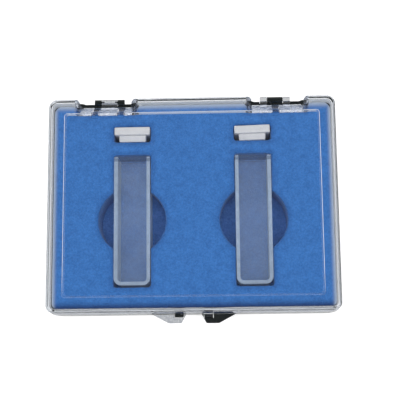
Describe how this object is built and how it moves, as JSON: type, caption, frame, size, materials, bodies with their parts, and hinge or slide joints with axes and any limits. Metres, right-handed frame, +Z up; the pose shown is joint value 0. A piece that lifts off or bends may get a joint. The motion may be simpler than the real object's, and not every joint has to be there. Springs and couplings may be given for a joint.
{
  "type": "cuvette storage case",
  "caption": "Hinged flat plastic case with black base, clear lid and blue cut-out foam holding square glass cuvettes and their white stoppers.",
  "frame": {"origin": "middle of the shut case's footprint, latch tabs and hinge knuckles included, on the plane it rests on", "axes": "+Z up through the lid, +Y towards the hinge, -Y towards the latch, +X to the right seen from the latch side"},
  "size_m": [0.1006, 0.0796, 0.0201],
  "materials": {
    "black_polystyrene": "smooth gloss",
    "clear_polystyrene": "clear gloss",
    "blue_foam": "fine closed-cell foam",
    "frosted_glass": "ground, frosted",
    "clear_glass": "polished",
    "white_ptfe": "satin"
  },
  "bodies": {
    "base": {"base_shell": "black_polystyrene", "foam_pad": "blue_foam", "foam_insert": "blue_foam"},
    "lid": {"lid_shell": "clear_polystyrene"},
    "left_cell": {"left_cell_frame": "frosted_glass", "left_cell_upper_window": "clear_glass", "left_cell_lower_window": "clear_glass"},
    "right_cell": {"right_cell_frame": "frosted_glass", "right_cell_upper_window": "clear_glass", "right_cell_lower_window": "clear_glass"},
    "left_stopper": {"left_stopper": "white_ptfe"},
    "right_stopper": {"right_stopper": "white_ptfe"}
  },
  "joints": [
    {"name": "lid_hinge", "type": "hinge", "parent": "base", "child": "lid", "pos_m": [0, 0.03868, 0.01252], "axis": [-1, 0, 0], "range_deg": [0, 180]},
    {"name": "left_cell_lift", "type": "slide", "parent": "base", "child": "left_cell", "axis": [0, 0, 1], "range_m": [0, 0.0022]},
    {"name": "right_cell_lift", "type": "slide", "parent": "base", "child": "right_cell", "axis": [0, 0, 1], "range_m": [0, 0.0022]},
    {"name": "left_stopper_lift", "type": "slide", "parent": "base", "child": "left_stopper", "axis": [0, 0, 1], "range_m": [0, 0.0022]},
    {"name": "right_stopper_lift", "type": "slide", "parent": "base", "child": "right_stopper", "axis": [0, 0, 1], "range_m": [0, 0.0022]}
  ]
}
